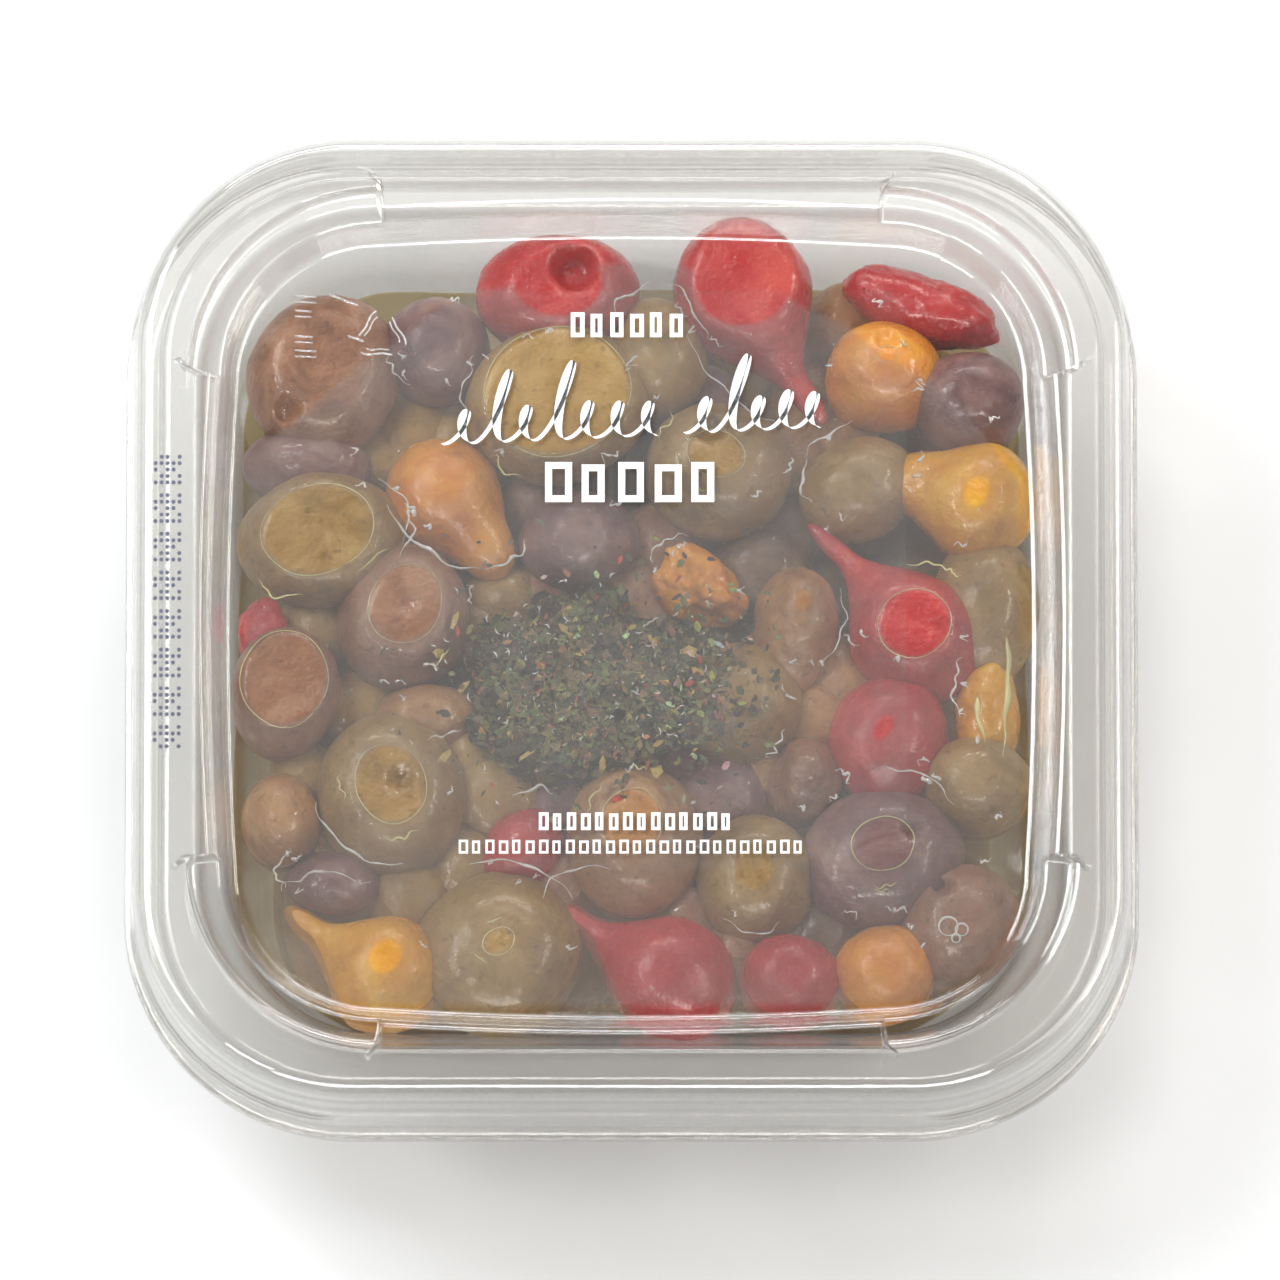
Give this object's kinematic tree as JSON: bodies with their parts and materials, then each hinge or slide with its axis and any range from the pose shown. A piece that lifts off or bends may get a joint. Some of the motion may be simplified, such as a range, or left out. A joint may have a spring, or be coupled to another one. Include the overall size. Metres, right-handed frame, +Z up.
{
  "type": "deli tub",
  "caption": "Square clear plastic deli tub with a hinged lid, a corner-ledged stacking recess, a tear strip and a filling of olives and small peppers.",
  "frame": {"origin": "centre of the footprint, on the surface the tub stands on", "axes": "+Z up; -Y is the front, where the lid opens; +Y is the hinge side; +X right seen from the front"},
  "size_m": [0.122, 0.123, 0.0423],
  "materials": {
    "tub_plastic": "gloss",
    "lid_plastic": "gloss",
    "strip_plastic": "gloss",
    "label_film": "satin",
    "oil": "gloss",
    "olive_gold": "gloss",
    "olive_brown": "gloss",
    "pepper_red": "gloss",
    "olive_green": "gloss",
    "olive_purple": "gloss",
    "pepper_orange": "gloss",
    "pepper_yellow": "gloss",
    "herbs": "satin"
  },
  "bodies": {
    "tub": {"tub": "tub_plastic", "oil": "oil", "olive_gold": "olive_gold", "olive_brown_back": "olive_brown", "pepper_red_hole": "pepper_red", "olive_left": "olive_green", "olive_pink": "olive_brown", "olive_left_low": "olive_green", "olive_purple_left": "olive_purple", "olive_grooved": "olive_green", "pepper_red_front": "pepper_red", "olive_orange": "olive_brown", "olive_front_mid": "olive_green", "olive_purple_front": "olive_purple", "pepper_red_right": "pepper_red", "pepper_red_round": "pepper_red", "olive_green_mid": "olive_green", "olive_walnut": "olive_brown", "olive_green_back": "olive_green", "pepper_red_back": "pepper_red", "pepper_orange_ring": "pepper_orange", "olive_green_right": "olive_green", "pepper_yellow_right": "pepper_yellow", "olive_purple_right": "olive_purple", "pepper_red_bit": "pepper_red", "olive_brown_mid": "olive_brown", "olive_purple_back": "olive_purple", "pepper_spotted": "pepper_orange", "olive_pink_mid": "olive_purple", "olive_purple_hidden": "olive_purple", "olive_green_side": "olive_green", "pepper_yellow_sliver": "pepper_yellow", "olive_brown_right": "olive_brown", "olive_corner": "olive_brown", "pepper_orange_front": "pepper_orange", "pepper_red_low": "pepper_red", "pepper_yellow_front": "pepper_yellow", "olive_red_brown": "olive_brown", "olive_purple_low": "olive_purple", "olive_reddish": "olive_brown", "olive_speckled": "olive_brown", "herb_clump": "herbs", "pepper_red_sliver": "pepper_red", "pepper_orange_bits": "pepper_orange", "olive_below_1_1": "olive_green", "olive_below_1_2": "olive_brown", "olive_below_1_3": "olive_purple", "olive_below_2_1": "olive_brown", "olive_below_2_2": "olive_purple", "olive_below_2_3": "olive_green", "olive_below_3_1": "olive_purple", "olive_below_3_2": "olive_green", "olive_below_3_3": "olive_brown", "olive_below_4_1": "olive_green", "olive_below_4_2": "olive_brown", "olive_below_4_3": "olive_purple"},
    "lid": {"lid": "lid_plastic", "label": "label_film"},
    "tear_strip": {"tear_strip": "strip_plastic"}
  },
  "joints": [
    {"name": "lid_hinge", "type": "hinge", "parent": "tub", "child": "lid", "pos_m": [0, 0.06135, 0.02515], "axis": [-1, 0, 0], "range_deg": [0, 178]},
    {"name": "tear_pull", "type": "slide", "parent": "tub", "child": "tear_strip", "axis": [1, 0, 0], "range_m": [0, 0.1]}
  ]
}
